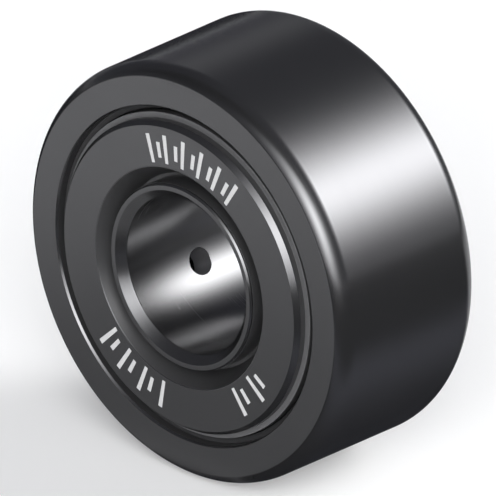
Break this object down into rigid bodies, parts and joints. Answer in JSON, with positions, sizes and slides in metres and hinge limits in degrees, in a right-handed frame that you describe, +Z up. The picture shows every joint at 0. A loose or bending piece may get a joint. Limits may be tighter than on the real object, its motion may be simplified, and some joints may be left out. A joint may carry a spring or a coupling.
{
  "type": "yoke type track roller",
  "caption": "Cam follower: a thick cylindrical outer ring turns on needle rollers round an inner ring, between pressed-on end plates, with seals in the side faces.",
  "frame": {"origin": "centre of the bearing: on the spin axis, midway between the end plates' faces", "axes": "Y along the spin axis with the front at -Y, Z up; the oil hole points 209 degrees from +X towards +Z"},
  "size_m": [0.032, 0.015, 0.032],
  "materials": {
    "black_oxide_steel": "gloss",
    "roller_steel": "polished",
    "seal_rubber": "matte"
  },
  "bodies": {
    "inner_assembly": {"inner_ring": "black_oxide_steel", "end_plate_front": "black_oxide_steel", "end_plate_rear": "black_oxide_steel"},
    "outer_ring": {"outer_ring": "black_oxide_steel", "seal_front": "seal_rubber", "seal_rear": "seal_rubber"},
    "needle_roller_01": {"needle_roller_01": "roller_steel"},
    "needle_roller_02": {"needle_roller_02": "roller_steel"},
    "needle_roller_03": {"needle_roller_03": "roller_steel"},
    "needle_roller_04": {"needle_roller_04": "roller_steel"},
    "needle_roller_05": {"needle_roller_05": "roller_steel"},
    "needle_roller_06": {"needle_roller_06": "roller_steel"},
    "needle_roller_07": {"needle_roller_07": "roller_steel"},
    "needle_roller_08": {"needle_roller_08": "roller_steel"},
    "needle_roller_09": {"needle_roller_09": "roller_steel"},
    "needle_roller_10": {"needle_roller_10": "roller_steel"},
    "needle_roller_11": {"needle_roller_11": "roller_steel"},
    "needle_roller_12": {"needle_roller_12": "roller_steel"},
    "needle_roller_13": {"needle_roller_13": "roller_steel"},
    "needle_roller_14": {"needle_roller_14": "roller_steel"},
    "needle_roller_15": {"needle_roller_15": "roller_steel"},
    "needle_roller_16": {"needle_roller_16": "roller_steel"},
    "needle_roller_17": {"needle_roller_17": "roller_steel"},
    "needle_roller_18": {"needle_roller_18": "roller_steel"},
    "needle_roller_19": {"needle_roller_19": "roller_steel"},
    "needle_roller_20": {"needle_roller_20": "roller_steel"},
    "needle_roller_21": {"needle_roller_21": "roller_steel"},
    "needle_roller_22": {"needle_roller_22": "roller_steel"},
    "needle_roller_23": {"needle_roller_23": "roller_steel"}
  },
  "joints": [
    {"name": "outer_ring_spin", "type": "hinge", "parent": "inner_assembly", "child": "outer_ring", "pos_m": [0, 0, 0], "axis": [0, 1, 0], "continuous": true},
    {"name": "roller_orbit", "type": "hinge", "parent": "inner_assembly", "child": "needle_roller_01", "pos_m": [0, 0, 0], "axis": [0, 1, 0], "continuous": true},
    {"name": "needle_roller_02_spin", "type": "hinge", "parent": "needle_roller_01", "child": "needle_roller_02", "pos_m": [0.00891, 0, 0.0025], "axis": [0, 1, 0], "continuous": true},
    {"name": "needle_roller_03_spin", "type": "hinge", "parent": "needle_roller_01", "child": "needle_roller_03", "pos_m": [0.0079, 0, 0.00481], "axis": [0, 1, 0], "continuous": true},
    {"name": "needle_roller_04_spin", "type": "hinge", "parent": "needle_roller_01", "child": "needle_roller_04", "pos_m": [0.00631, 0, 0.00676], "axis": [0, 1, 0], "continuous": true},
    {"name": "needle_roller_05_spin", "type": "hinge", "parent": "needle_roller_01", "child": "needle_roller_05", "pos_m": [0.00426, 0, 0.00821], "axis": [0, 1, 0], "continuous": true},
    {"name": "needle_roller_06_spin", "type": "hinge", "parent": "needle_roller_01", "child": "needle_roller_06", "pos_m": [0.00188, 0, 0.00906], "axis": [0, 1, 0], "continuous": true},
    {"name": "needle_roller_07_spin", "type": "hinge", "parent": "needle_roller_01", "child": "needle_roller_07", "pos_m": [-0.00063, 0, 0.00923], "axis": [0, 1, 0], "continuous": true},
    {"name": "needle_roller_08_spin", "type": "hinge", "parent": "needle_roller_01", "child": "needle_roller_08", "pos_m": [-0.0031, 0, 0.00872], "axis": [0, 1, 0], "continuous": true},
    {"name": "needle_roller_09_spin", "type": "hinge", "parent": "needle_roller_01", "child": "needle_roller_09", "pos_m": [-0.00533, 0, 0.00756], "axis": [0, 1, 0], "continuous": true},
    {"name": "needle_roller_10_spin", "type": "hinge", "parent": "needle_roller_01", "child": "needle_roller_10", "pos_m": [-0.00718, 0, 0.00584], "axis": [0, 1, 0], "continuous": true},
    {"name": "needle_roller_11_spin", "type": "hinge", "parent": "needle_roller_01", "child": "needle_roller_11", "pos_m": [-0.00848, 0, 0.00369], "axis": [0, 1, 0], "continuous": true},
    {"name": "needle_roller_12_spin", "type": "hinge", "parent": "needle_roller_01", "child": "needle_roller_12", "pos_m": [-0.00916, 0, 0.00126], "axis": [0, 1, 0], "continuous": true},
    {"name": "needle_roller_13_spin", "type": "hinge", "parent": "needle_roller_01", "child": "needle_roller_13", "pos_m": [-0.00916, 0, -0.00126], "axis": [0, 1, 0], "continuous": true},
    {"name": "needle_roller_14_spin", "type": "hinge", "parent": "needle_roller_01", "child": "needle_roller_14", "pos_m": [-0.00848, 0, -0.00369], "axis": [0, 1, 0], "continuous": true},
    {"name": "needle_roller_15_spin", "type": "hinge", "parent": "needle_roller_01", "child": "needle_roller_15", "pos_m": [-0.00718, 0, -0.00584], "axis": [0, 1, 0], "continuous": true},
    {"name": "needle_roller_16_spin", "type": "hinge", "parent": "needle_roller_01", "child": "needle_roller_16", "pos_m": [-0.00533, 0, -0.00756], "axis": [0, 1, 0], "continuous": true},
    {"name": "needle_roller_17_spin", "type": "hinge", "parent": "needle_roller_01", "child": "needle_roller_17", "pos_m": [-0.0031, 0, -0.00872], "axis": [0, 1, 0], "continuous": true},
    {"name": "needle_roller_18_spin", "type": "hinge", "parent": "needle_roller_01", "child": "needle_roller_18", "pos_m": [-0.00063, 0, -0.00923], "axis": [0, 1, 0], "continuous": true},
    {"name": "needle_roller_19_spin", "type": "hinge", "parent": "needle_roller_01", "child": "needle_roller_19", "pos_m": [0.00188, 0, -0.00906], "axis": [0, 1, 0], "continuous": true},
    {"name": "needle_roller_20_spin", "type": "hinge", "parent": "needle_roller_01", "child": "needle_roller_20", "pos_m": [0.00426, 0, -0.00821], "axis": [0, 1, 0], "continuous": true},
    {"name": "needle_roller_21_spin", "type": "hinge", "parent": "needle_roller_01", "child": "needle_roller_21", "pos_m": [0.00631, 0, -0.00676], "axis": [0, 1, 0], "continuous": true},
    {"name": "needle_roller_22_spin", "type": "hinge", "parent": "needle_roller_01", "child": "needle_roller_22", "pos_m": [0.0079, 0, -0.00481], "axis": [0, 1, 0], "continuous": true},
    {"name": "needle_roller_23_spin", "type": "hinge", "parent": "needle_roller_01", "child": "needle_roller_23", "pos_m": [0.00891, 0, -0.0025], "axis": [0, 1, 0], "continuous": true}
  ],
  "couplings": [
    {"joint": "roller_orbit", "follows": "outer_ring_spin", "ratio": 0.56757},
    {"joint": "needle_roller_02_spin", "follows": "outer_ring_spin", "ratio": 3.6324},
    {"joint": "needle_roller_03_spin", "follows": "outer_ring_spin", "ratio": 3.6324},
    {"joint": "needle_roller_04_spin", "follows": "outer_ring_spin", "ratio": 3.6324},
    {"joint": "needle_roller_05_spin", "follows": "outer_ring_spin", "ratio": 3.6324},
    {"joint": "needle_roller_06_spin", "follows": "outer_ring_spin", "ratio": 3.6324},
    {"joint": "needle_roller_07_spin", "follows": "outer_ring_spin", "ratio": 3.6324},
    {"joint": "needle_roller_08_spin", "follows": "outer_ring_spin", "ratio": 3.6324},
    {"joint": "needle_roller_09_spin", "follows": "outer_ring_spin", "ratio": 3.6324},
    {"joint": "needle_roller_10_spin", "follows": "outer_ring_spin", "ratio": 3.6324},
    {"joint": "needle_roller_11_spin", "follows": "outer_ring_spin", "ratio": 3.6324},
    {"joint": "needle_roller_12_spin", "follows": "outer_ring_spin", "ratio": 3.6324},
    {"joint": "needle_roller_13_spin", "follows": "outer_ring_spin", "ratio": 3.6324},
    {"joint": "needle_roller_14_spin", "follows": "outer_ring_spin", "ratio": 3.6324},
    {"joint": "needle_roller_15_spin", "follows": "outer_ring_spin", "ratio": 3.6324},
    {"joint": "needle_roller_16_spin", "follows": "outer_ring_spin", "ratio": 3.6324},
    {"joint": "needle_roller_17_spin", "follows": "outer_ring_spin", "ratio": 3.6324},
    {"joint": "needle_roller_18_spin", "follows": "outer_ring_spin", "ratio": 3.6324},
    {"joint": "needle_roller_19_spin", "follows": "outer_ring_spin", "ratio": 3.6324},
    {"joint": "needle_roller_20_spin", "follows": "outer_ring_spin", "ratio": 3.6324},
    {"joint": "needle_roller_21_spin", "follows": "outer_ring_spin", "ratio": 3.6324},
    {"joint": "needle_roller_22_spin", "follows": "outer_ring_spin", "ratio": 3.6324},
    {"joint": "needle_roller_23_spin", "follows": "outer_ring_spin", "ratio": 3.6324}
  ]
}
